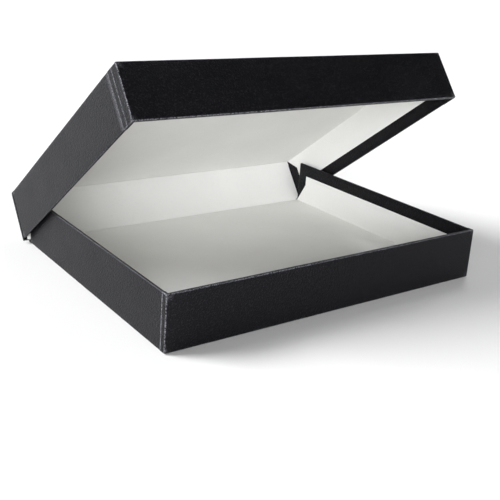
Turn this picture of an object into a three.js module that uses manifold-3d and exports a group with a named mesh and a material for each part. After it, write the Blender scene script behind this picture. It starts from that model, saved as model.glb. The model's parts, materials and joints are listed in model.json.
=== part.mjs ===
// Drop-spine archival box for prints, standing open.
//
// A shallow tray and a slightly larger lid are joined by a spine board. The spine turns on the tray's
// rear bottom edge and the lid turns on the spine's other edge. Every board is covered with bookcloth
// outside and lined with paper inside, and both hinges are the cloth itself.
//
// Millimetres, +Z up, +X to the right seen from the front. The origin is the centre of the tray's
// underside.

import * as THREE from 'three';
import { mergeVertices } from 'three/addons/utils/BufferGeometryUtils.js';
import Module from 'manifold-3d';

const wasm = await Module();
wasm.setup();

// ---- Driving dimensions ----

const TRAY_WIDTH = 375;
const TRAY_DEPTH = 290; // front face to the free rear ends of the side walls
const TRAY_HEIGHT = 54;
const SPINE_LEAN = 37; // degrees that the open spine leans back from upright

const BOARD = 2.3;
const CLOTH = 0.35;
const PAPER = 0.3;
const LAYER_GAP = 0.3; // between two layers, and between neighbours in one layer

const TURN_IN = 15; // cloth folded over a rim and down the inner face
const TRAY_CORNER_FLAP = 7.4; // front cloth carried round the corner onto a side wall
const LID_CORNER_FLAP = 17.5;
const TRAY_LINER_RISE = 27; // where the tray's rear turn-in starts to narrow towards the floor
const LID_LINER_RISE = 18; // the same for the lid, measured from its panel
const SPINE_TURN_IN = 4.4; // cloth folded onto the spine's inner face at each end

const SIDE_PLAY = 2.5; // lid wall to tray wall, each side, with the box closed
const FRONT_PLAY = 5.3; // the lid's front rim swings past the tray's front edge
const CLOSING_PLAY = 0.5; // lid panel above the tray's rims, closed
const RIM_ABOVE_TABLE = 3.5; // the closed lid's rim stops this far above the table

const WALL_SETBACK = 3.9; // hinge line to the free ends of side walls
const BOARD_SETBACK = 4.5; // hinge line to the edge of the tray base or lid panel
const SPINE_SETBACK = 1.5; // hinge line to the spine board's edge
const FOLD_RADIUS = 1.2; // outside of the folded hinge cloth

// ---- Derived dimensions ----

const BOARD_OUTER = CLOTH + LAYER_GAP; // depth of a board's outer face below the cloth's surface
const BOARD_INNER = BOARD_OUTER + BOARD;
const LINED = BOARD_INNER + LAYER_GAP + PAPER; // thickness of a lined wall
const WRAPPED = BOARD_INNER + LAYER_GAP + CLOTH; // thickness of a wall at its turn-in

const TRAY_HINGE_DEPTH = TRAY_DEPTH + WALL_SETBACK;
const SPINE_LENGTH = TRAY_HEIGHT + CLOSING_PLAY + LINED;
const LID_WIDTH = TRAY_WIDTH + 2 * (SIDE_PLAY + WRAPPED);
const LID_HINGE_DEPTH = TRAY_HINGE_DEPTH + FRONT_PLAY + WRAPPED;
const LID_HEIGHT = SPINE_LENGTH - RIM_ABOVE_TABLE;
const LEAN = THREE.MathUtils.degToRad(SPINE_LEAN);

const ARC_SEGMENTS = 10;
const MICRON = 0.001;
const FLAT_ENOUGH = 10 * MICRON; // faces that differ by less than this are joined into one

// ---- Materials ----

const blackCloth = () =>
  new THREE.MeshStandardMaterial({ color: 0x17171a, roughness: 0.42, metalness: 0 });
const whitePaper = () =>
  new THREE.MeshStandardMaterial({ color: 0xeeede8, roughness: 0.85, metalness: 0 });
const greyBoard = () =>
  new THREE.MeshStandardMaterial({ color: 0x8f8b84, roughness: 0.9, metalness: 0 });

// ---- Shape helpers ----

function block(low, high) {
  const size = high.map((value, i) => value - low[i]);
  const geometry = new THREE.BoxGeometry(...size);
  return geometry.translate(...high.map((value, i) => (value + low[i]) / 2));
}

// A plate whose outline lies in the YZ plane, between two values of x.
function sidePlate(shape, xLow, xHigh) {
  const geometry = new THREE.ExtrudeGeometry(shape, {
    depth: xHigh - xLow,
    bevelEnabled: false,
    curveSegments: ARC_SEGMENTS,
  });
  const toSide = new THREE.Matrix4().set(0, 0, 1, xLow, 1, 0, 0, 0, 0, 1, 0, 0, 0, 0, 0, 1);
  return geometry.applyMatrix4(toSide);
}

function outline(points) {
  return new THREE.Shape(points.map(([y, z]) => new THREE.Vector2(y, z)));
}

// Corners are put on a grid of one micron, so that faces meant to lie in one plane do.
function toSolid(geometry) {
  const bare = geometry.clone();
  bare.deleteAttribute('normal');
  bare.deleteAttribute('uv');
  const merged = mergeVertices(bare, MICRON);
  const onGrid = merged.attributes.position.array.map((value) => Math.round(value / MICRON) * MICRON);
  return new wasm.Manifold(
    new wasm.Mesh({
      numProp: 3,
      vertProperties: onGrid,
      triVerts: new Uint32Array(merged.index.array),
    }),
  );
}

function toGeometry(solid) {
  const { vertProperties, triVerts, numProp } = solid.simplify(FLAT_ENOUGH).getMesh();
  const positions = new Float32Array((vertProperties.length / numProp) * 3);
  for (let i = 0; i < positions.length / 3; i++) {
    for (let axis = 0; axis < 3; axis++) positions[i * 3 + axis] = vertProperties[i * numProp + axis];
  }
  const geometry = new THREE.BufferGeometry();
  geometry.setAttribute('position', new THREE.BufferAttribute(positions, 3));
  geometry.setIndex([...triVerts]);
  return geometry;
}

const joined = (geometries) =>
  geometries.map(toSolid).reduce((whole, piece) => whole.add(piece));

function named(name, geometry, material) {
  geometry.computeVertexNormals();
  const mesh = new THREE.Mesh(geometry, material);
  mesh.name = name;
  return mesh;
}

// ---- Walled shells: the tray and the lid ----

// A shell lies with its outer face on z = 0, its front face on y = 0 and its hinge line along
// y = hingeDepth, z = 0. sides gives the direction in x of each side wall.
function walledShell(shell) {
  const { name, plate, facing, lining, width, hingeDepth, height, sides, linerRise, cornerFlap } = shell;
  const group = new THREE.Group();
  const half = width / 2;
  const wallEnd = hingeDepth - WALL_SETBACK;
  const plateEnd = hingeDepth - BOARD_SETBACK;
  const wallFoot = BOARD_OUTER;
  const boardTop = height - BOARD_OUTER;
  const behindFront = BOARD_INNER + LAYER_GAP;
  const linerTop = height - TURN_IN - LAYER_GAP;

  // The plate: the tray's base or the lid's panel, with its cloth and its liner.
  const inside = half - BOARD_INNER - LAYER_GAP;
  group.add(
    named(
      `${name}_${plate}_board`,
      block([-inside, behindFront, BOARD_OUTER], [inside, plateEnd, BOARD_INNER]),
      greyBoard(),
    ),
    named(`${name}_${facing}_cloth`, block([-half, 0, 0], [half, plateEnd, CLOTH]), blackCloth()),
    named(
      `${name}_${lining}_liner`,
      block(
        [-(half - LINED - LAYER_GAP), LINED + LAYER_GAP, LINED - PAPER],
        [half - LINED - LAYER_GAP, plateEnd, LINED],
      ),
      whitePaper(),
    ),
  );

  // The front wall. Its cloth turns both corners and folds over the rim.
  const cornerFlaps = [-1, 1].map((side) => [
    [Math.min(side * half, side * (half - CLOTH)), 0, wallFoot],
    [Math.max(side * half, side * (half - CLOTH)), cornerFlap, height],
  ]);
  const frontCloth = joined([
    block([-half, 0, wallFoot], [half, CLOTH, height]),
    block([-half, 0, height - CLOTH], [half, WRAPPED, height]),
    block([-half + WRAPPED, WRAPPED - CLOTH, height - TURN_IN], [half - WRAPPED, WRAPPED, height]),
    ...cornerFlaps.map((corners) => block(...corners)),
  ]);
  group.add(
    named(
      `${name}_front_wall_board`,
      block([-half + BOARD_OUTER, BOARD_OUTER, wallFoot], [half - BOARD_OUTER, BOARD_INNER, boardTop]),
      greyBoard(),
    ),
    named(`${name}_front_cloth`, toGeometry(frontCloth), blackCloth()),
    named(
      `${name}_front_liner`,
      block(
        [-(half - LINED - LAYER_GAP), LINED - PAPER, LINED - PAPER],
        [half - LINED - LAYER_GAP, LINED, linerTop],
      ),
      whitePaper(),
    ),
  );

  for (const [sideName, side] of Object.entries(sides)) {
    // Low and high x of a layer that lies between two depths below the wall's outer face.
    const layer = (outer, inner) => [side * (half - outer), side * (half - inner)].sort((a, b) => a - b);
    const box = ([outer, inner], [yLow, yHigh], [zLow, zHigh]) => {
      const [xLow, xHigh] = layer(outer, inner);
      return block([xLow, yLow, zLow], [xHigh, yHigh, zHigh]);
    };

    // The turn-in runs under the rim and down the free end, and narrows to nothing at the plate.
    const clothStart = WRAPPED + LAYER_GAP;
    const turnIn = outline([
      [clothStart, height],
      [clothStart, height - TURN_IN],
      [wallEnd - TURN_IN, height - TURN_IN],
      [wallEnd - TURN_IN, linerRise],
      [wallEnd - CLOTH, LINED + LAYER_GAP],
      [wallEnd, LINED + LAYER_GAP],
      [wallEnd, height],
    ]);
    const grownFlap = box([0, CLOTH + LAYER_GAP], [0, cornerFlap + LAYER_GAP], [0, height + CLOTH]);
    const sideCloth = joined([
      box([0, CLOTH], [clothStart, wallEnd], [wallFoot, height]),
      box([0, WRAPPED], [clothStart, wallEnd], [height - CLOTH, height]),
      box([0, WRAPPED], [wallEnd - CLOTH, wallEnd], [wallFoot, height]),
      sidePlate(turnIn, ...layer(WRAPPED - CLOTH, WRAPPED)),
    ]).subtract(toSolid(grownFlap));

    const liner = outline([
      [LINED + LAYER_GAP, LINED - PAPER],
      [wallEnd - CLOTH - LAYER_GAP, LINED - PAPER],
      [wallEnd - TURN_IN - LAYER_GAP, linerRise - LAYER_GAP],
      [wallEnd - TURN_IN - LAYER_GAP, linerTop],
      [LINED + LAYER_GAP, linerTop],
    ]);

    group.add(
      named(
        `${name}_${sideName}_wall_board`,
        box([BOARD_OUTER, BOARD_INNER], [behindFront, wallEnd - BOARD_OUTER], [wallFoot, boardTop]),
        greyBoard(),
      ),
      named(`${name}_${sideName}_cloth`, toGeometry(sideCloth), blackCloth()),
      named(
        `${name}_${sideName}_liner`,
        sidePlate(liner, ...layer(LINED - PAPER, LINED)),
        whitePaper(),
      ),
    );
  }
  return group;
}

// ---- Spine ----

// The spine stands with its outer face on y = 0 and its lower hinge line at the origin.
function spine() {
  const group = new THREE.Group();
  const half = LID_WIDTH / 2;
  const bottom = SPINE_SETBACK;
  const top = SPINE_LENGTH - SPINE_SETBACK;
  const cloth = joined([
    block([-half, -CLOTH, bottom], [half, 0, top]),
    ...[-1, 1].flatMap((side) => {
      const [xLow, xHigh] = [side * half, side * (half - CLOTH)].sort((a, b) => a - b);
      const [foldLow, foldHigh] = [side * half, side * (half - SPINE_TURN_IN)].sort((a, b) => a - b);
      return [
        block([xLow, -WRAPPED, bottom], [xHigh, 0, top]),
        block([foldLow, -WRAPPED, bottom], [foldHigh, -WRAPPED + CLOTH, top]),
      ];
    }),
  ]);
  const linerHalf = half - SPINE_TURN_IN - LAYER_GAP;
  group.add(
    named(
      'spine_board',
      block([-half + BOARD_OUTER, -BOARD_INNER, bottom], [half - BOARD_OUTER, -BOARD_OUTER, top]),
      greyBoard(),
    ),
    named('spine_cloth', toGeometry(cloth), blackCloth()),
    named(
      'spine_liner',
      block([-linerHalf, -LINED, bottom], [linerHalf, PAPER - LINED, top]),
      whitePaper(),
    ),
  );
  return group;
}

// ---- Hinge strips ----

// A strip that comes in along one direction, folds to the left round a corner and leaves along another.
// The corner is where its outer faces would meet.
function foldedStrip(corner, arriving, leaving, arrivingLength, leavingLength) {
  const turn = Math.acos(arriving.dot(leaving));
  const tangent = FOLD_RADIUS * Math.tan(turn / 2);
  const left = (direction) => new THREE.Vector2(-direction.y, direction.x);
  const along = (direction, distance, depth) =>
    corner.clone().addScaledVector(direction, distance).addScaledVector(left(direction), depth);
  const centre = along(arriving, -tangent, FOLD_RADIUS);
  const startAngle = left(arriving).negate().angle();
  const shape = new THREE.Shape();
  shape.moveTo(...along(arriving, -arrivingLength, 0));
  shape.absarc(centre.x, centre.y, FOLD_RADIUS, startAngle, startAngle + turn, false);
  shape.lineTo(...along(leaving, leavingLength, 0));
  shape.lineTo(...along(leaving, leavingLength, CLOTH));
  shape.absarc(centre.x, centre.y, FOLD_RADIUS - CLOTH, startAngle + turn, startAngle, true);
  shape.lineTo(...along(arriving, -arrivingLength, CLOTH));
  return shape;
}

// A paper strip pressed into the groove between two board edges: down the first edge, over the
// groove's floor and up the second edge. All points are on its centre line, in the YZ plane.
function groovedStrip(points) {
  const directions = points.slice(1).map((point, i) => point.clone().sub(points[i]).normalize());
  const offset = (distance) =>
    points.map((point, i) => {
      const arriving = directions[Math.max(i - 1, 0)];
      const leaving = directions[Math.min(i, directions.length - 1)];
      const mitre = arriving.clone().add(leaving).normalize();
      const normal = new THREE.Vector2(-mitre.y, mitre.x);
      return point.clone().addScaledVector(normal, distance / mitre.dot(arriving));
    });
  return new THREE.Shape([...offset(PAPER / 2), ...offset(-PAPER / 2).reverse()]);
}

// ---- Assembly ----

// Directions and places in the YZ plane. The spine's inward normal is the lid's direction.
const back = new THREE.Vector2(1, 0);
const up = new THREE.Vector2(0, 1);
const upSpine = new THREE.Vector2(Math.sin(LEAN), Math.cos(LEAN));
const alongLid = new THREE.Vector2(-Math.cos(LEAN), Math.sin(LEAN));
const lowerHinge = new THREE.Vector2(TRAY_HINGE_DEPTH, 0);
const upperHinge = lowerHinge.clone().addScaledVector(upSpine, SPINE_LENGTH);
const at = (origin, ...steps) => {
  const place = origin.clone();
  for (const [direction, distance] of steps) place.addScaledVector(direction, distance);
  return place;
};

const tray = walledShell({
  name: 'tray',
  plate: 'base',
  facing: 'underside',
  lining: 'floor',
  width: TRAY_WIDTH,
  hingeDepth: TRAY_HINGE_DEPTH,
  height: TRAY_HEIGHT,
  sides: { left: -1, right: 1 },
  linerRise: TRAY_LINER_RISE,
  cornerFlap: TRAY_CORNER_FLAP,
});

const spineGroup = spine();
spineGroup.position.set(0, lowerHinge.x, lowerHinge.y);
spineGroup.rotation.x = -LEAN;

// The lid is the same kind of shell, upside down, so its left and right change places.
const lid = walledShell({
  name: 'lid',
  plate: 'panel',
  facing: 'panel',
  lining: 'panel',
  width: LID_WIDTH,
  hingeDepth: LID_HINGE_DEPTH,
  height: LID_HEIGHT,
  sides: { left: 1, right: -1 },
  linerRise: LID_LINER_RISE,
  cornerFlap: LID_CORNER_FLAP,
});
const lidCorner = at(upperHinge, [alongLid, LID_HINGE_DEPTH]);
lid.position.set(0, lidCorner.x, lidCorner.y);
lid.rotation.set(-LEAN, Math.PI, 0);

// Hinge cloths: outside strips between the cloths, inside strips pressed into the grooves.
const SPINE_REACH = SPINE_SETBACK - LAYER_GAP;
const BOARD_REACH = BOARD_SETBACK - LAYER_GAP;
const STRIP_INSET = LAYER_GAP + PAPER / 2; // a groove strip's centre line from the board edge beside it
const STRIP_TOP = LINED - PAPER / 2;
const GROOVE_FLOOR = CLOTH + 2 * STRIP_INSET;
const FLOOR_EDGE = STRIP_INSET - BOARD_SETBACK;
const SPINE_EDGE = SPINE_SETBACK - STRIP_INSET;

const lowerGroove = groovedStrip([
  at(lowerHinge, [back, FLOOR_EDGE], [up, STRIP_TOP]),
  at(lowerHinge, [back, FLOOR_EDGE], [up, GROOVE_FLOOR]),
  at(lowerHinge, [upSpine, SPINE_EDGE], [alongLid, GROOVE_FLOOR + STRIP_INSET]),
  at(lowerHinge, [upSpine, SPINE_EDGE], [alongLid, STRIP_TOP]),
]);
const upperGroove = groovedStrip([
  at(upperHinge, [upSpine, -SPINE_EDGE], [alongLid, STRIP_TOP - STRIP_INSET]),
  at(upperHinge, [upSpine, -SPINE_EDGE], [alongLid, -FLOOR_EDGE]),
  at(upperHinge, [upSpine, -STRIP_TOP], [alongLid, -FLOOR_EDGE]),
]);
const lowerGrooveHalf = TRAY_WIDTH / 2 - LINED - LAYER_GAP;
const upperGrooveHalf = LID_WIDTH / 2 - SPINE_TURN_IN - LAYER_GAP;

const archivalBox = new THREE.Group();
archivalBox.name = 'archival_box';
archivalBox.add(
  tray,
  spineGroup,
  lid,
  named(
    'lower_hinge_cloth',
    sidePlate(
      foldedStrip(lowerHinge, back, upSpine, BOARD_REACH, SPINE_REACH),
      -TRAY_WIDTH / 2,
      TRAY_WIDTH / 2,
    ),
    blackCloth(),
  ),
  named(
    'upper_hinge_cloth',
    sidePlate(
      foldedStrip(upperHinge, upSpine, alongLid, SPINE_REACH, BOARD_REACH),
      -LID_WIDTH / 2,
      LID_WIDTH / 2,
    ),
    blackCloth(),
  ),
  named(
    'lower_hinge_liner',
    sidePlate(lowerGroove, -lowerGrooveHalf, lowerGrooveHalf),
    whitePaper(),
  ),
  named(
    'upper_hinge_liner',
    sidePlate(upperGroove, -upperGrooveHalf, upperGrooveHalf),
    whitePaper(),
  ),
);

// The model was laid out from the tray's front face; the origin moves to the centre of its underside.
for (const piece of archivalBox.children) piece.position.y -= TRAY_DEPTH / 2;

export default archivalBox;
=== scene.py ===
"""Drop-spine archival box, standing open: cloth-covered boards, paper liners and cloth hinges.

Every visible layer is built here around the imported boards, in metres, in the frame's own axes. Each
body has a bench frame in which its layers are laid out in millimetres: x along the hinges, z from the
outer face inwards, and y from the front wall towards the hinge line, or on the spine from the lower
hinge upwards.
"""
import itertools
import json
import math
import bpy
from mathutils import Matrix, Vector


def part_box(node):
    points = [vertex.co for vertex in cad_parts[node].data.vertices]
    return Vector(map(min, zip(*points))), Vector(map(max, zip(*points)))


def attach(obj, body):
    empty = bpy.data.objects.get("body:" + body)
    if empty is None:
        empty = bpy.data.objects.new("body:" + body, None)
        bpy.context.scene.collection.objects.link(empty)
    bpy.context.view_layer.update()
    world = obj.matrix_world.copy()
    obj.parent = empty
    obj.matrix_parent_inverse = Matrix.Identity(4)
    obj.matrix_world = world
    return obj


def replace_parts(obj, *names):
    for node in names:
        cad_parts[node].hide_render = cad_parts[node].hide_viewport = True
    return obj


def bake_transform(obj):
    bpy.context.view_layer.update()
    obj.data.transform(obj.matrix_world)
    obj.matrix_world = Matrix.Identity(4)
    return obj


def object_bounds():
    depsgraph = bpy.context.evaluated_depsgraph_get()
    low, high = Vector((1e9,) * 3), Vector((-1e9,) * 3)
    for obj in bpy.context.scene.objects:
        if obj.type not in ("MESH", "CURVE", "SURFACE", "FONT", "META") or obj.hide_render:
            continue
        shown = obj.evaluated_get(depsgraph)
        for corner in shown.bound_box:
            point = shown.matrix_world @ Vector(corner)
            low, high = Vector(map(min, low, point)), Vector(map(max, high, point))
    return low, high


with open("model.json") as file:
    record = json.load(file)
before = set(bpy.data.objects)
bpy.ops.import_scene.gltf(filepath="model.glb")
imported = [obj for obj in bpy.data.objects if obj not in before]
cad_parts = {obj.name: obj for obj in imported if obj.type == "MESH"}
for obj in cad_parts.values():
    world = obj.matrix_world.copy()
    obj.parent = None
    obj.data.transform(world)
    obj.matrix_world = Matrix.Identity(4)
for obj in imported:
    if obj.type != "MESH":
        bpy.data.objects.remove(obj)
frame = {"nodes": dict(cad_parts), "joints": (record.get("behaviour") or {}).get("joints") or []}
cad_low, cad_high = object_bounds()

from types import SimpleNamespace

import bpy
import bmesh
from mathutils import Matrix, Vector, noise

noise.seed_set(1)  # the same waviness each run

MM = 0.001

# ---- Layer sizes, millimetres ----

CLOTH = 0.3  # thickness of the covering cloth
PAPER = 0.2  # thickness of the lining paper
WALL = 3.6  # thickness of a covered wall at its rim
LINED = 3.17  # depth of the paper on a board's inner face, below the cloth's outer face
EDGE = 1.25  # rounding of the cloth over a board's edge
SIDE_EDGE = 0.9 * EDGE  # the same on a side wall, whose cloth lies lower
SPINE_EDGE = 1.0

LAP_STEP = 0.3  # the side cloth lies this far under the corner flap
FLAP_SINK = 0.24  # a flap lies this much lower where no cloth is under it
SINK_RUN = 1.5  # it sinks over this run behind the corner
FLAP_CLIMB = 1.2  # and climbs onto the side cloth over this run
TURN_IN = 15.0  # black border that shows round the liners
LINER_LAP = 2.6  # paper pasted over the turned-in cloth's raw edge
LIFT_RUN = 3.0  # paper climbs over this run before it lies on the turned-in cloth
END_GAP = 0.6  # paper stops this far short of a wall's free end
TRAY_LAP = 2.6  # the tray's side cloth begins this far behind its front face
LID_LAP = 10.5  # and the lid's, under a wider corner flap
PLATE_INSET = 2.4  # the facing cloth's cut edge, in from the box's edge

SPINE_TURN_IN = 4.4  # cloth on the spine's inner face at each end
SPINE_LINER_INSET = 4.2
SPINE_LINER_GAP = 0.3  # paper stops this far short of the spine board's long edges
SPINE_LINER_RISE = 0.02  # and lies this far over the turned-in cloth

WALL_SETBACK = 3.9  # hinge line to the free ends of side walls
HINGE_GAP_PLATE = 4.5  # hinge line to the edge of the base or panel board
HINGE_GAP_SPINE = 1.5  # hinge line to the edge of the spine board

# ---- Rubbing (wear and painted edge highlight) and waviness, millimetres ----

TIP_REACH = 5.0  # rubbing is wider this near a corner where three edges meet
TIP_EXPOSURE = 0.65  # at the corner itself a distance from an edge counts this much
RIDGE_WIDTH = 2.0  # a ridge in the cloth is rubbed over so many times the width that an edge is
FAR = 1e6  # place of an edge that a piece doesn't have
SWAY = 0.1  # sheets wander this far from flat
LONG_WAVE = 60.0
SHORT_WAVE = 14.0

# ---- Spacing of mesh lines, millimetres ----

STEP = 6.0  # on flat faces
FACING_STEP = 9.0  # on the facing cloths
FINE_STEP = 0.5  # where paper climbs
FLAP_LINES = 0.6  # along a corner flap
CORNER_STEPS = 6  # round an upright corner


# ---- Bench frames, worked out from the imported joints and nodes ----

joints = {joint["name"]: joint for joint in frame["joints"]}
lower_hinge = Vector(joints["spine_hinge"]["pos_m"])
upper_hinge = Vector(joints["lid_hinge"]["pos_m"])
RIGHT = Vector((1, 0, 0))
BACK = Vector((0, 1, 0))
UP = Vector((0, 0, 1))
up_spine = (upper_hinge - lower_hinge).normalized()
along_lid = RIGHT.cross(up_spine)


def bench(origin, x, y, z):
    """Matrix from a body's bench frame, in millimetres, to the row frame, in metres."""
    turn = Matrix((x, y, z)).transposed().to_4x4()
    return Matrix.Translation(origin) @ turn @ Matrix.Scale(MM, 4)


def span(node, origin, axis):
    """How far a CAD node reaches along an axis from a point, in millimetres."""
    reach = [(vertex.co - origin).dot(axis) for vertex in frame["nodes"][node].data.vertices]
    return min(reach) / MM, max(reach) / MM


tray_low, tray_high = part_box("tray_front_cloth")
TRAY_WIDTH = (tray_high[0] - tray_low[0]) / MM
TRAY_HEIGHT = tray_high[2] / MM
TRAY_HINGE_DEPTH = (lower_hinge.y - tray_low[1]) / MM
TRAY_FLAP = (tray_high[1] - tray_low[1]) / MM
SPINE_LENGTH = (upper_hinge - lower_hinge).length / MM
LID_WIDTH = (cad_high[0] - cad_low[0]) / MM
lid_flap_end, LID_HINGE_DEPTH = span("lid_front_cloth", upper_hinge, along_lid)
LID_FLAP = LID_HINGE_DEPTH - lid_flap_end
LID_HEIGHT = span("lid_front_cloth", upper_hinge, -up_spine)[1]

tray_bench = bench(Vector((0, tray_low[1], 0)), RIGHT, BACK, UP)
spine_bench = bench(lower_hinge, RIGHT, up_spine, along_lid)
lid_bench = bench(upper_hinge + along_lid * LID_HINGE_DEPTH * MM, -RIGHT, -along_lid, -up_spine)


# ---- Materials. Colours are linear, scales are per metre ----

CLOTH_DARK = (0.0019, 0.0018, 0.0021, 1)
CLOTH_LIGHT = (0.0031, 0.003, 0.0035, 1)
CLOTH_PEBBLE = (0.001, 0.001, 0.0012, 1)  # on top of the grain
# light specks painted on the grain: painted glints, not a colour of the cloth
CLOTH_PAINTED_GLINT = (0.019, 0.0186, 0.021, 1)
# pale edges: partly wear, partly a painted highlight of the rounded edges
CLOTH_WORN_AND_HIGHLIGHT = (0.2, 0.2, 0.214, 1)
CLOTH_TINT = (0.87, 0.87, 1.0, 1)  # of its reflections
CLOTH_WARP = 0.0016  # metres by which noise bends the grain's cells

PAPER_DARK = (0.80, 0.795, 0.762, 1)
PAPER_LIGHT = (0.84, 0.835, 0.80, 1)
PAPER_FIBRE = (0.74, 0.735, 0.70, 1)

BOARD_DARK = (0.22, 0.21, 0.19, 1)
BOARD_LIGHT = (0.30, 0.285, 0.26, 1)
BOARD_FLECK = (0.11, 0.1, 0.09, 1)

FLOOR_DARK = (0.875, 0.862, 0.825, 1)
FLOOR_LIGHT = (0.89, 0.877, 0.84, 1)


class Nodes:
    """Short calls for one material's node tree."""

    def __init__(self, name):
        self.material = bpy.data.materials.new(name)
        self.material.use_nodes = True
        self.tree = self.material.node_tree
        self.shader = self.tree.nodes["Principled BSDF"]

    def add(self, kind, inputs=None, **settings):
        node = self.tree.nodes.new(kind)
        for key, value in settings.items():
            setattr(node, key, value)
        for key, value in (inputs or {}).items():
            self.put(node.inputs[key], value)
        return node

    def put(self, socket, value):
        if isinstance(value, bpy.types.NodeSocket):
            self.tree.links.new(value, socket)
        else:
            socket.default_value = value

    def object_place(self):
        return self.add("ShaderNodeTexCoord").outputs["Object"]

    def noise(self, place, scale, detail, output="Fac"):
        inputs = {"Vector": place, "Scale": scale, "Detail": detail}
        return self.add("ShaderNodeTexNoise", inputs).outputs[output]

    def math(self, operation, first, second):
        return self.add("ShaderNodeMath", {0: first, 1: second}, operation=operation).outputs[0]

    def ramp(self, value, low, high, to_low=0.0, to_high=1.0):
        limits = {"From Min": low, "From Max": high, "To Min": to_low, "To Max": to_high}
        return self.add("ShaderNodeMapRange", {"Value": value, **limits}).outputs[0]

    def mix(self, factor, first, second):
        return self.add("ShaderNodeMix", {0: factor, 6: first, 7: second}, data_type="RGBA").outputs[2]

    def bump(self, height, strength, distance):
        inputs = {"Height": height, "Strength": strength, "Distance": distance}
        self.put(self.shader.inputs["Normal"], self.add("ShaderNodeBump", inputs).outputs[0])


def leather_cloth():
    """Black coated bookcloth with a fine pebbled grain and painted glints on it, paled where its rub
    attribute says, partly as wear and partly as painted highlight.
    """
    n = Nodes("black_bookcloth")
    place = n.object_place()
    warp = n.noise(place, 260.0, 2.0, "Color")
    warped = n.add(
        "ShaderNodeVectorMath",
        {0: warp, 1: (CLOTH_WARP, CLOTH_WARP, CLOTH_WARP), 2: place},
        operation="MULTIPLY_ADD",
    ).outputs[0]
    cells = n.add(
        "ShaderNodeTexVoronoi",
        {"Vector": warped, "Scale": 820.0, "Smoothness": 0.6},
        feature="SMOOTH_F1",
    )
    grain = n.ramp(cells.outputs["Distance"], 0.1, 0.75, 1.0, 0.0)
    fine = n.noise(place, 2400.0, 3.0)
    broad = n.noise(place, 28.0, 4.0)
    # noise of the grain's bumps and of its painted glints
    mottle_and_glint = n.noise(place, 620.0, 2.0)
    breaks = n.noise(place, 900.0, 4.0)
    rub = n.add("ShaderNodeAttribute", attribute_name="rub").outputs["Fac"]

    height = n.math("ADD", grain, n.math("MULTIPLY", fine, 0.35))
    height = n.math("ADD", height, n.math("MULTIPLY", mottle_and_glint, 0.8))
    n.bump(height, n.ramp(rub, 0.0, 1.0, 0.6, 0.15), 0.0004)

    ink = n.mix(n.ramp(broad, 0.3, 0.7), CLOTH_DARK, CLOTH_LIGHT)
    ink = n.mix(n.math("MULTIPLY", grain, 0.35), ink, CLOTH_PEBBLE)
    # the paler specks are painted glints of the grain; the same noise also raises the bump
    ink = n.mix(n.ramp(mottle_and_glint, 0.53, 0.76), ink, CLOTH_PAINTED_GLINT)
    # edges painted pale in broken patches where rub is high: partly wear, partly painted highlight
    worn_and_highlight = n.math("MULTIPLY", rub, n.ramp(breaks, 0.4, 0.62))
    n.put(n.shader.inputs["Base Color"], n.mix(worn_and_highlight, ink, CLOTH_WORN_AND_HIGHLIGHT))

    dull = n.math("ADD", n.ramp(broad, 0.25, 0.75, 0.35, 0.43), n.math("MULTIPLY", fine, 0.08))
    polish = n.math("MULTIPLY", rub, n.ramp(breaks, 0.3, 0.6, 0.1, 0.25))
    n.put(n.shader.inputs["Roughness"], n.math("SUBTRACT", dull, polish))
    n.shader.inputs["Specular IOR Level"].default_value = 0.15
    n.shader.inputs["Specular Tint"].default_value = CLOTH_TINT
    return n.material


def lining_paper():
    """Uncoated white lining paper with a soft tooth and faint fibre."""
    n = Nodes("white_lining_paper")
    place = n.object_place()
    tooth = n.noise(place, 1500.0, 4.0)
    fibre = n.noise(place, 320.0, 6.0)
    cloud = n.noise(place, 14.0, 3.0)
    sheet = n.mix(n.ramp(cloud, 0.3, 0.7), PAPER_DARK, PAPER_LIGHT)
    sheet = n.mix(n.ramp(fibre, 0.52, 0.75, 0.0, 0.22), sheet, PAPER_FIBRE)
    n.put(n.shader.inputs["Base Color"], sheet)
    n.put(n.shader.inputs["Roughness"], n.ramp(fibre, 0.3, 0.7, 0.68, 0.8))
    n.bump(n.math("ADD", n.math("MULTIPLY", tooth, 0.4), fibre), 0.12, 0.0002)
    n.shader.inputs["Specular IOR Level"].default_value = 0.3
    return n.material


def grey_board():
    """Grey binder's board with darker flecks, as its cut edges show it."""
    n = Nodes("grey_board")
    place = n.object_place()
    fleck = n.noise(place, 900.0, 5.0)
    layer = n.noise(place, 120.0, 3.0)
    tone = n.mix(n.ramp(layer, 0.3, 0.7), BOARD_DARK, BOARD_LIGHT)
    n.put(n.shader.inputs["Base Color"], n.mix(n.ramp(fleck, 0.55, 0.7), tone, BOARD_FLECK))
    n.put(n.shader.inputs["Roughness"], n.ramp(fleck, 0.3, 0.7, 0.8, 0.95))
    n.bump(fleck, 0.3, 0.0002)
    return n.material


def studio_floor():
    """Plain pale paper sweep."""
    n = Nodes("pale_floor")
    cloud = n.noise(n.object_place(), 1.5, 2.0)
    n.put(n.shader.inputs["Base Color"], n.mix(cloud, FLOOR_DARK, FLOOR_LIGHT))
    n.shader.inputs["Roughness"].default_value = 0.85
    n.shader.inputs["Specular IOR Level"].default_value = 0.2
    return n.material


COVERING = SimpleNamespace(look=leather_cloth(), thickness=CLOTH, slot="cover_cloth")
LINING = SimpleNamespace(look=lining_paper(), thickness=PAPER, slot="lining_paper")
BOARD = grey_board()


# ---- Sheets ----


def ease(value):
    """Smooth step from 0 to 1."""
    t = max(0.0, min(1.0, value))
    return t * t * (3 - 2 * t)


def ticks(low, high, step=STEP):
    """Evenly spaced values from low to high, ends included."""
    count = max(1, round((high - low) / step))
    return [low + (high - low) * i / count for i in range(count + 1)]


def arc(centre, radius, start, end, count=4):
    """Points of an arc in a plane, angles in degrees."""
    angles = [math.radians(start + (end - start) * i / count) for i in range(count + 1)]
    return [(centre[0] + radius * math.cos(a), centre[1] + radius * math.sin(a)) for a in angles]


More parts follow.
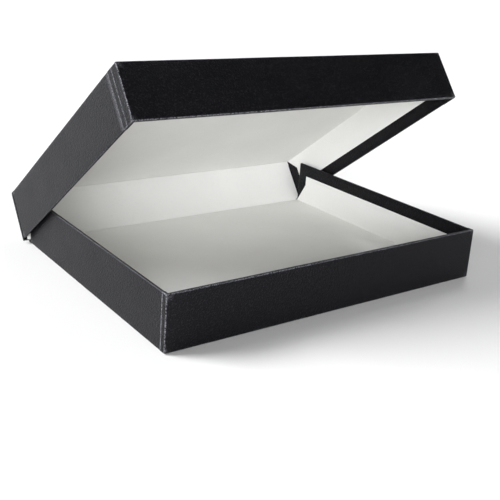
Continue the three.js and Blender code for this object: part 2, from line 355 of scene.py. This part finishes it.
def grid(rows, flip=False):
    """Points and quads of rows of points, all rows the same length."""
    width = len(rows[0])
    points = [point for row in rows for point in row]
    faces = [
        [r * width + c, r * width + c + 1, (r + 1) * width + c + 1, (r + 1) * width + c]
        for r in range(len(rows) - 1)
        for c in range(width - 1)
    ]
    if flip:
        faces = [face[::-1] for face in faces]
    return points, faces


def rounded_ticks(low, high, radius):
    """Lattice lines for one side of a rounded box: close together where the edges turn."""
    turn = [math.tan(math.radians(angle)) for angle in (45, 30, 15)]
    start = [low + radius * (1 - t) for t in turn]
    end = [high - radius * (1 - t) for t in reversed(turn)]
    return start + ticks(low + radius, high - radius) + end


def rounded_box(low, high, radius, keep):
    """Surface of a box with rounded edges. keep(centre, axis, side) says which face cells it has."""
    lines = [rounded_ticks(low[i], high[i], radius) for i in range(3)]
    inner_low = [value + radius for value in low]
    inner_high = [value - radius for value in high]
    points, faces, index = [], [], {}

    def corner(where):
        if where not in index:
            flat = Vector(lines[a][where[a]] for a in range(3))
            core = Vector(min(max(flat[a], inner_low[a]), inner_high[a]) for a in range(3))
            out = flat - core
            index[where] = len(points)
            points.append(core + out.normalized() * radius if out.length > 1e-6 else flat)
        return index[where]

    for axis, side in itertools.product(range(3), (0, 1)):
        u, v = (axis + 1) % 3, (axis + 2) % 3
        level = side * (len(lines[axis]) - 1)
        for a, b in itertools.product(range(len(lines[u]) - 1), range(len(lines[v]) - 1)):
            centre = [0.0, 0.0, 0.0]
            centre[axis] = lines[axis][level]
            centre[u] = (lines[u][a] + lines[u][a + 1]) / 2
            centre[v] = (lines[v][b] + lines[v][b + 1]) / 2
            if not keep(centre, axis, side):
                continue
            face = []
            for p, q in ((a, b), (a + 1, b), (a + 1, b + 1), (a, b + 1)):
                where = [0, 0, 0]
                where[axis], where[u], where[v] = level, p, q
                face.append(corner(tuple(where)))
            faces.append(face if side else face[::-1])
    return points, faces


def wobble(point, amount, wavelength, seed):
    """A smooth shift of a bench-frame point, the same for every layer there."""
    return noise.noise_vector(point / wavelength + Vector((seed, 2.3 * seed, -seed))) * amount


def make_piece(name, body, to_row, surface, layer, seed, sway=SWAY):
    """Makes a closed layer that rides on a body, from its outer surface in a bench frame."""
    points, faces = surface
    moved = [
        point + wobble(point, sway, LONG_WAVE, seed) + wobble(point, sway * 0.35, SHORT_WAVE, seed + 5)
        for point in points
    ]
    mesh = bpy.data.meshes.new(name)
    mesh.from_pydata([to_row @ point for point in moved], [], faces)
    made = bmesh.new()
    made.from_mesh(mesh)
    bmesh.ops.remove_doubles(made, verts=made.verts, dist=0.01 * MM)
    bmesh.ops.delete(made, geom=[v for v in made.verts if not v.link_faces], context="VERTS")
    made.to_mesh(mesh)
    made.free()
    piece = bpy.data.objects.new(name, mesh)
    bpy.context.scene.collection.objects.link(piece)
    mesh.materials.append(layer.look)
    shell = piece.modifiers.new("thickness", "SOLIDIFY")
    shell.thickness = layer.thickness * MM
    shell.offset = -1
    shell.use_even_offset = True
    apply_modifiers(piece)
    piece.data.shade_smooth()
    piece.data.set_sharp_from_angle(angle=math.radians(40))
    if body:
        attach(piece, body)
    return piece


def apply_modifiers(piece):
    depsgraph = bpy.context.evaluated_depsgraph_get()
    final = bpy.data.meshes.new_from_object(piece.evaluated_get(depsgraph))
    piece.modifiers.clear()
    old = piece.data
    piece.data = final
    bpy.data.meshes.remove(old)


def box_edge_distance(width, depth, height, ridges=()):
    """Distance of a point from a shell's nearest outer edge.

    Each ridge up its sides is a place and a shelter: it is rubbed like a surface that far from an edge.
    """

    def distance(p):
        to_side = width / 2 - abs(p.x)
        gaps = sorted([abs(to_side), abs(p.y), abs(p.z), abs(height - p.z), abs(depth - p.y)])
        to_ridges = [
            math.hypot(to_side, p.y - place) / RIDGE_WIDTH + shelter for place, shelter in ridges
        ]
        exposure = TIP_EXPOSURE + (1 - TIP_EXPOSURE) * min(1.0, gaps[2] / TIP_REACH)
        return min([math.hypot(gaps[0], gaps[1]) * exposure] + to_ridges)

    return distance


def mark_rub(piece, to_row, edge_distance):
    """Stores how near each vertex is to a rubbed edge, where the cloth's colour is paled, partly as
    wear and partly as painted highlight.
    """
    back = to_row.inverted()
    nearest = EDGE * (math.sqrt(2) - 1)
    gaps = [edge_distance(back @ vertex.co) for vertex in piece.data.vertices]
    values = [ease((EDGE - gap) / (EDGE - nearest)) for gap in gaps]
    piece.data.attributes.new("rub", "FLOAT", "POINT").data.foreach_set("value", values)


# ---- Walled shells: the tray and the lid ----


def shell_piece(shell, name, surface, layer):
    return make_piece(f"{shell.body}_{name}", shell.body, shell.to_row, surface, layer, shell.seed)


def front_cloth(shell, edge_distance):
    """One strip over the front wall: round both corners, over the rim and down inside.

    Its flaps lie on the board as far as the side cloth's edge and then run over that cloth.
    """
    lap_start, flap_end = shell.laps
    half = shell.width / 2
    inner_half = half - WALL
    outer, inner = [], []

    def station(x, y):
        outer.append((x, y))
        inner.append((max(-inner_half, min(inner_half, x)), max(y, WALL)))

    def sunk(y):
        climbed = ease((y - lap_start) / FLAP_CLIMB + 0.5)
        return FLAP_SINK * ease((y - EDGE) / SINK_RUN) * (1 - climbed)

    flap_lines = ticks(EDGE, flap_end, FLAP_LINES)[1:]
    for y in reversed(flap_lines):
        station(-half + sunk(y), y)
    for x, y in arc((-half + EDGE, EDGE), EDGE, 180, 270, CORNER_STEPS):
        station(x, y)
    for x in ticks(-half + EDGE, half - EDGE)[1:-1]:
        station(x, 0.0)
    for x, y in arc((half - EDGE, EDGE), EDGE, 270, 360, CORNER_STEPS):
        station(x, y)
    for y in flap_lines:
        station(half - sunk(y), y)

    foot = LAP_STEP
    rim = shell.height - EDGE
    hem = shell.height - TURN_IN - LINER_LAP
    profile = [(WALL, foot)] + arc((EDGE, foot + EDGE), EDGE, 270, 180)
    profile += [(0.0, z) for z in ticks(foot + EDGE, rim)[1:-1]]
    profile += arc((EDGE, rim), EDGE, 180, 90)
    profile += arc((WALL - EDGE, rim), EDGE, 90, 0)
    profile += [(WALL, z) for z in reversed(ticks(hem, rim, 4.0)[:-1])]

    rows = []
    for (ox, oy), (ix, iy) in zip(outer, inner):
        rows.append(
            [Vector((ox + (ix - ox) * d / WALL, oy + (iy - oy) * d / WALL, z)) for d, z in profile]
        )
    piece = shell_piece(shell, "front_covering", grid(rows, flip=True), COVERING)
    mark_rub(piece, shell.to_row, edge_distance)
    return piece


def side_cloth(shell, name, side, edge_distance):
    """Cloth of one side wall: over the rim and the free end, turned in on the inner face."""
    outer = side * (shell.width / 2 - LAP_STEP)
    inner = side * (shell.width / 2 - WALL + LAP_STEP)
    top = shell.height - LAP_STEP
    low = [min(outer, inner), shell.laps[0], LAP_STEP]
    high = [max(outer, inner), shell.wall_end, top]
    inner_side = 0 if side > 0 else 1
    turned = TURN_IN + LINER_LAP

    def keep(centre, axis, face_side):
        if axis == 1 and face_side == 0:
            return False
        if axis == 0 and face_side == inner_side:
            return centre[1] > shell.wall_end - turned or centre[2] > shell.height - turned
        return True

    surface = rounded_box(low, high, SIDE_EDGE, keep)
    piece = shell_piece(shell, f"{name}_covering", surface, COVERING)
    mark_rub(piece, shell.to_row, edge_distance)
    return piece


def plate_cloth(shell):
    """The facing cloth on a shell's outside, cut a little in from the edges."""
    half = shell.width / 2 - PLATE_INSET
    rows = [
        [Vector((x, y, 0.0)) for x in ticks(-half, half, FACING_STEP)]
        for y in ticks(PLATE_INSET, shell.plate_end, FACING_STEP)
    ]
    return shell_piece(shell, f"{shell.facing}_covering", grid(rows, flip=True), COVERING)


def lifted(past_raw_edge, lap):
    """Depth of a liner's surface: on the board, or over the turned-in cloth past its raw edge."""
    return LINED + (lap - LINED) * ease(past_raw_edge / LIFT_RUN + 1)


def side_liner(shell, name, side):
    """Liner of a side wall. Towards the plate its rear edge slants out to the wall's free end."""
    half = shell.width / 2
    top = shell.height - TURN_IN
    raw_edge_y = shell.wall_end - TURN_IN - LINER_LAP
    raw_edge_z = top - LINER_LAP

    def rear(z):
        climb = max(0.0, min(1.0, (z - LINED) / (shell.liner_rise - LINED)))
        return shell.wall_end - END_GAP - (TURN_IN - END_GAP) * climb

    heights = ticks(LINED, shell.liner_rise, 1.5)[:-1]
    heights += ticks(shell.liner_rise, raw_edge_z - LIFT_RUN, 3.0)
    heights += ticks(raw_edge_z - LIFT_RUN, raw_edge_z, FINE_STEP)[1:] + ticks(raw_edge_z, top, 1.0)[1:]
    shares = ticks(0.0, 1.0, 1 / 14)[1:]
    rows = []
    for z in heights:
        stops = ticks(LINED, raw_edge_y - LIFT_RUN)
        stops += ticks(raw_edge_y - LIFT_RUN, raw_edge_y, FINE_STEP)[1:]
        stops += [raw_edge_y + (rear(z) - raw_edge_y) * share for share in shares]
        row = []
        for y in stops:
            depth = lifted(max(y - raw_edge_y, z - raw_edge_z), WALL - LAP_STEP + PAPER)
            row.append(Vector((side * (half - depth), y, z)))
        rows.append(row)
    return shell_piece(shell, f"{name}_lining", grid(rows, flip=side > 0), LINING)


def front_liner(shell):
    """Liner of the front wall, as high as the turn-in's lower border."""
    half = shell.width / 2 - LINED
    top = shell.height - TURN_IN
    raw_edge = top - LINER_LAP
    heights = ticks(LINED, raw_edge - LIFT_RUN, 3.0)
    heights += ticks(raw_edge - LIFT_RUN, raw_edge, FINE_STEP)[1:] + ticks(raw_edge, top, 1.0)[1:]
    rows = [
        [Vector((x, lifted(z - raw_edge, WALL + PAPER), z)) for x in ticks(-half, half)]
        for z in heights
    ]
    return shell_piece(shell, "front_lining", grid(rows, flip=True), LINING)


def plate_liner(shell):
    """Liner of the floor or the panel."""
    half = shell.width / 2 - LINED
    rows = [[Vector((x, y, LINED)) for x in ticks(-half, half)] for y in ticks(LINED, shell.plate_end)]
    return shell_piece(shell, f"{shell.lined}_lining", grid(rows), LINING)


def walled_shell(shell):
    edges = box_edge_distance(shell.width, shell.wall_end, shell.height, shell.ridges)
    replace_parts(front_cloth(shell, edges), f"{shell.body}_front_cloth")
    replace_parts(front_liner(shell), f"{shell.body}_front_liner")
    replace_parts(plate_cloth(shell), f"{shell.body}_{shell.facing}_cloth")
    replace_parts(plate_liner(shell), f"{shell.body}_{shell.lined}_liner")
    for name, side in shell.sides.items():
        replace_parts(side_cloth(shell, name, side, edges), f"{shell.body}_{name}_cloth")
        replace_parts(side_liner(shell, name, side), f"{shell.body}_{name}_liner")


# In a shell, laps are distances from its front face: where the side cloth begins and where the corner
# flap ends. liner_rise is the height at which the side liners' rear edges stop slanting. The seed is
# the waviness's.
tray = SimpleNamespace(
    body="tray",
    to_row=tray_bench,
    width=TRAY_WIDTH,
    height=TRAY_HEIGHT,
    wall_end=TRAY_HINGE_DEPTH - WALL_SETBACK,
    plate_end=TRAY_HINGE_DEPTH - HINGE_GAP_PLATE,
    facing="underside",
    lined="floor",
    sides={"left": -1, "right": 1},
    liner_rise=27.0,
    laps=(TRAY_LAP, TRAY_FLAP),
    ridges=[(TRAY_FLAP, 0.35)],
    seed=1.7,
)
lid = SimpleNamespace(
    body="lid",
    to_row=lid_bench,
    width=LID_WIDTH,
    height=LID_HEIGHT,
    wall_end=LID_HINGE_DEPTH - WALL_SETBACK,
    plate_end=LID_HINGE_DEPTH - HINGE_GAP_PLATE,
    facing="panel",
    lined="panel",
    sides={"left": 1, "right": -1},
    liner_rise=18.0,
    laps=(LID_LAP, LID_FLAP),
    ridges=[(LID_LAP, 0.68), (LID_FLAP, 0.68)],
    seed=4.1,
)
walled_shell(tray)
walled_shell(lid)


# ---- Spine ----

SPINE_SEED = 7.7


def spine_cloth():
    half = LID_WIDTH / 2
    low = [-half, HINGE_GAP_SPINE, 0.0]
    high = [half, SPINE_LENGTH - HINGE_GAP_SPINE, WALL]

    def keep(centre, axis, side):
        on_inner_face = axis == 2 and side == 1
        return not on_inner_face or abs(centre[0]) > half - SPINE_TURN_IN

    surface = rounded_box(low, high, SPINE_EDGE, keep)
    piece = make_piece("spine_covering", "spine", spine_bench, surface, COVERING, SPINE_SEED)
    mark_rub(piece, spine_bench, box_edge_distance(LID_WIDTH, FAR, FAR))
    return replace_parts(piece, "spine_cloth")


def spine_liner():
    half = LID_WIDTH / 2 - SPINE_LINER_INSET
    margin = HINGE_GAP_SPINE + SPINE_LINER_GAP
    rows = [
        [Vector((x, y, WALL + SPINE_LINER_RISE)) for x in ticks(-half, half)]
        for y in ticks(margin, SPINE_LENGTH - margin, 5.0)
    ]
    piece = make_piece("spine_lining", "spine", spine_bench, grid(rows), LINING, SPINE_SEED)
    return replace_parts(piece, "spine_liner")


spine_cloth()
spine_liner()


# ---- Cloth hinges ----

PLATE_LAP = 7.0  # a hinge cloth reaches this far along the base or panel
SPINE_LAP = 4.0  # and this far along the spine
UNDER = 0.32  # its outer face lies this far under the cloths it joins
CLOTH_END_GAP = 0.6  # and its ends this far in from theirs
FOLD_BEFORE = 1.6  # its fold takes up this much before the hinge line
FOLD_AFTER = 1.2  # and this much past it
FOLD_DEPTH = 0.05

STRIP = 0.13  # a hinge liner lies this far over the papers it joins
STRIP_END_GAP = 0.2
FLOOR_LEVEL = LINED + STRIP
SPINE_LEVEL = WALL + SPINE_LINER_RISE + STRIP


def strip(name, path, half_width, layer, flip=False):
    """A strip of constant section along x. The path is in the YZ plane of the row frame, in metres."""
    rows = [[Vector((x * MM, y, z)) for x in ticks(-half_width, half_width, 8.0)] for y, z in path]
    return make_piece(name, None, Matrix.Identity(4), grid(rows, flip), layer, 0.0, sway=0.0)


def plane_point(origin, *steps):
    """A YZ point reached from a hinge line by steps of (direction, millimetres)."""
    place = origin.copy()
    for direction, distance in steps:
        place += direction * distance * MM
    return (place.y, place.z)


def smooth_path(points, rounds=3):
    """Corner cutting: a path of few points becomes a soft curve with the same ends."""
    for _ in range(rounds):
        cut = [points[0]]
        for (ay, az), (by, bz) in zip(points, points[1:]):
            cut.append((ay * 0.75 + by * 0.25, az * 0.75 + bz * 0.25))
            cut.append((ay * 0.25 + by * 0.75, az * 0.25 + bz * 0.75))
        points = cut + [points[-1]]
    return points


def hinge_cloth(name, hinge, first, second, width, node):
    """Cloth that carries a hinge, between two plates whose outer faces meet on the hinge line.

    Each plate is the way the cloth runs on it, its inward direction and how far the cloth reaches.
    """
    arriving, first_inward, first_lap = first
    leaving, second_inward, second_lap = second
    path = smooth_path(
        [
            plane_point(hinge, (arriving, -first_lap), (first_inward, UNDER)),
            plane_point(hinge, (arriving, -FOLD_BEFORE), (first_inward, FOLD_DEPTH)),
            plane_point(hinge),
            plane_point(hinge, (leaving, FOLD_AFTER), (second_inward, FOLD_DEPTH)),
            plane_point(hinge, (leaving, second_lap), (second_inward, UNDER)),
        ]
    )
    piece = strip(name, path, width / 2 - CLOTH_END_GAP, COVERING, flip=True)
    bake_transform(piece)
    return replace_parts(piece, node)


def hinge_liner(name, points, width, node):
    """Paper strip over the gap inside a hinge."""
    piece = strip(name, smooth_path(points), width / 2 - WALL - STRIP_END_GAP, LINING)
    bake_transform(piece)
    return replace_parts(piece, node)


def at_lower_hinge(back, up):
    """Point given by millimetres behind and above the lower hinge line."""
    return plane_point(lower_hinge, (BACK, back), (UP, up))


def on_spine(rise, level):
    """Point by millimetres up the spine from the lower hinge line and in from its outer face."""
    return plane_point(lower_hinge, (up_spine, rise), (along_lid, level))


def at_upper_hinge(forward, down):
    """Point by millimetres along the lid from the upper hinge line and down the spine from it."""
    return plane_point(upper_hinge, (along_lid, forward), (up_spine, -down))


hinge_cloth(
    "lower_hinge_covering",
    lower_hinge,
    (BACK, UP, PLATE_LAP),
    (up_spine, along_lid, SPINE_LAP),
    TRAY_WIDTH,
    "lower_hinge_cloth",
)
hinge_cloth(
    "upper_hinge_covering",
    upper_hinge,
    (up_spine, along_lid, SPINE_LAP),
    (along_lid, -up_spine, PLATE_LAP),
    LID_WIDTH,
    "upper_hinge_cloth",
)
hinge_liner(
    "lower_hinge_lining",
    [
        at_lower_hinge(-11.0, FLOOR_LEVEL),
        at_lower_hinge(-6.0, FLOOR_LEVEL),
        at_lower_hinge(-4.7, FLOOR_LEVEL),
        at_lower_hinge(-4.0, 2.3),
        at_lower_hinge(-3.3, 1.5),
        on_spine(0.7, SPINE_LEVEL - 0.1),
        on_spine(1.9, SPINE_LEVEL),
        on_spine(3.0, SPINE_LEVEL),
        on_spine(7.0, SPINE_LEVEL),
    ],
    TRAY_WIDTH, "lower_hinge_liner",
)
hinge_liner(
    "upper_hinge_lining",
    [
        at_upper_hinge(SPINE_LEVEL, 9.0),
        at_upper_hinge(SPINE_LEVEL, 5.0),
        at_upper_hinge(SPINE_LEVEL, 3.6),
        at_upper_hinge(SPINE_LEVEL + 0.1, 1.6),
        at_upper_hinge(SPINE_LEVEL + 0.3, 0.9),
        at_upper_hinge(SPINE_LEVEL + 0.6, 1.6),
        at_upper_hinge(SPINE_LEVEL + 0.8, 3.0),
        at_upper_hinge(SPINE_LEVEL + 1.8, FLOOR_LEVEL),
        at_upper_hinge(SPINE_LEVEL + 3.0, FLOOR_LEVEL),
        at_upper_hinge(SPINE_LEVEL + 8.0, FLOOR_LEVEL),
    ],
    LID_WIDTH, "upper_hinge_liner",
)


# ---- Boards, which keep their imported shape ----

for name, node in frame["nodes"].items():
    if name.endswith("_board"):
        node.data.materials.clear()
        node.data.materials.append(BOARD)


# ---- Studio ----

DAYLIGHT = (0.94, 0.955, 1.0)
FLOOR_REACH = 12.0
FLOOR_LEVEL_M = -0.0003  # just below the box


def soft_sun(name, azimuth, height, power, spread):
    """Light from far off, as soft as a source this many degrees across.

    Azimuth 0 is the front and 90 the right, and the height is in degrees above the floor.
    """
    around, up = math.radians(azimuth), math.radians(height)
    towards = Vector((math.sin(around) * math.cos(up), -math.cos(around) * math.cos(up), math.sin(up)))
    sun = bpy.data.lights.new(name, "SUN")
    sun.energy = power
    sun.angle = math.radians(spread)
    sun.color = DAYLIGHT
    lamp = bpy.data.objects.new(name, sun)
    bpy.context.scene.collection.objects.link(lamp)
    lamp.rotation_euler = (-towards).to_track_quat("-Z", "Y").to_euler()


def pale_walls():
    """Surroundings of the studio: bright as far up as the walls reach, dim above."""
    world = bpy.data.worlds.new("studio")
    world.use_nodes = True
    nodes, links = world.node_tree.nodes, world.node_tree.links
    direction = nodes.new("ShaderNodeTexCoord").outputs["Generated"]
    split = nodes.new("ShaderNodeSeparateXYZ")
    links.new(direction, split.inputs[0])
    fade = nodes.new("ShaderNodeMapRange")
    limits = {"From Min": 0.2, "From Max": 0.3, "To Min": 1.1, "To Max": 0.03}
    for key, limit in limits.items():
        fade.inputs[key].default_value = limit
    links.new(split.outputs["Z"], fade.inputs["Value"])
    links.new(fade.outputs[0], nodes["Background"].inputs["Strength"])
    nodes["Background"].inputs["Color"].default_value = (*DAYLIGHT, 1)
    return world


def studio():
    corners = [(-1, -1), (1, -1), (1, 1), (-1, 1)]
    floor_mesh = bpy.data.meshes.new("floor")
    floor_mesh.from_pydata(
        [(x * FLOOR_REACH, y * FLOOR_REACH, FLOOR_LEVEL_M) for x, y in corners], [], [(0, 1, 2, 3)]
    )
    floor_mesh.materials.append(studio_floor())
    floor = bpy.data.objects.new("floor", floor_mesh)
    bpy.context.scene.collection.objects.link(floor)
    bpy.context.scene.world = pale_walls()
    soft_sun("front_window", -45, 12, 3.0, 35)
    soft_sun("side_window", -128, 28, 5.4, 36)
    soft_sun("front_fill", -15, 12, 0.35, 35)
    soft_sun("ceiling", 0, 88, 0.25, 40)
    soft_sun("rim_light", 126, 54, 0.6, 16)
    bpy.context.scene.view_settings.view_transform = "Standard"


studio()


# ---- Camera, in metres and degrees ----

CAMERA_PLACE = (-0.5089, -0.6772, 0.3301)
CAMERA_AZIMUTH = 36.79
CAMERA_DIP = 17.21
CAMERA_ROLL = 4.11
CAMERA_LENS = 60.33
CAMERA_SHIFT_Y = -0.1


def camera():
    azimuth, dip, roll = (math.radians(a) for a in (CAMERA_AZIMUTH, CAMERA_DIP, CAMERA_ROLL))
    ahead = Vector(
        (math.sin(azimuth) * math.cos(dip), math.cos(azimuth) * math.cos(dip), -math.sin(dip))
    )
    level = ahead.cross(UP).normalized()
    above = level.cross(ahead)
    right = level * math.cos(roll) + above * math.sin(roll)
    top = above * math.cos(roll) - level * math.sin(roll)
    data = bpy.data.cameras.new("camera")
    data.sensor_width = 36.0
    data.lens = CAMERA_LENS
    data.shift_y = CAMERA_SHIFT_Y
    data.clip_start, data.clip_end = 0.01, 100.0
    made = bpy.data.objects.new("camera", data)
    bpy.context.scene.collection.objects.link(made)
    turn = Matrix((right, top, -ahead)).transposed().to_4x4()
    made.matrix_world = Matrix.Translation(CAMERA_PLACE) @ turn
    bpy.context.scene.camera = made


camera()
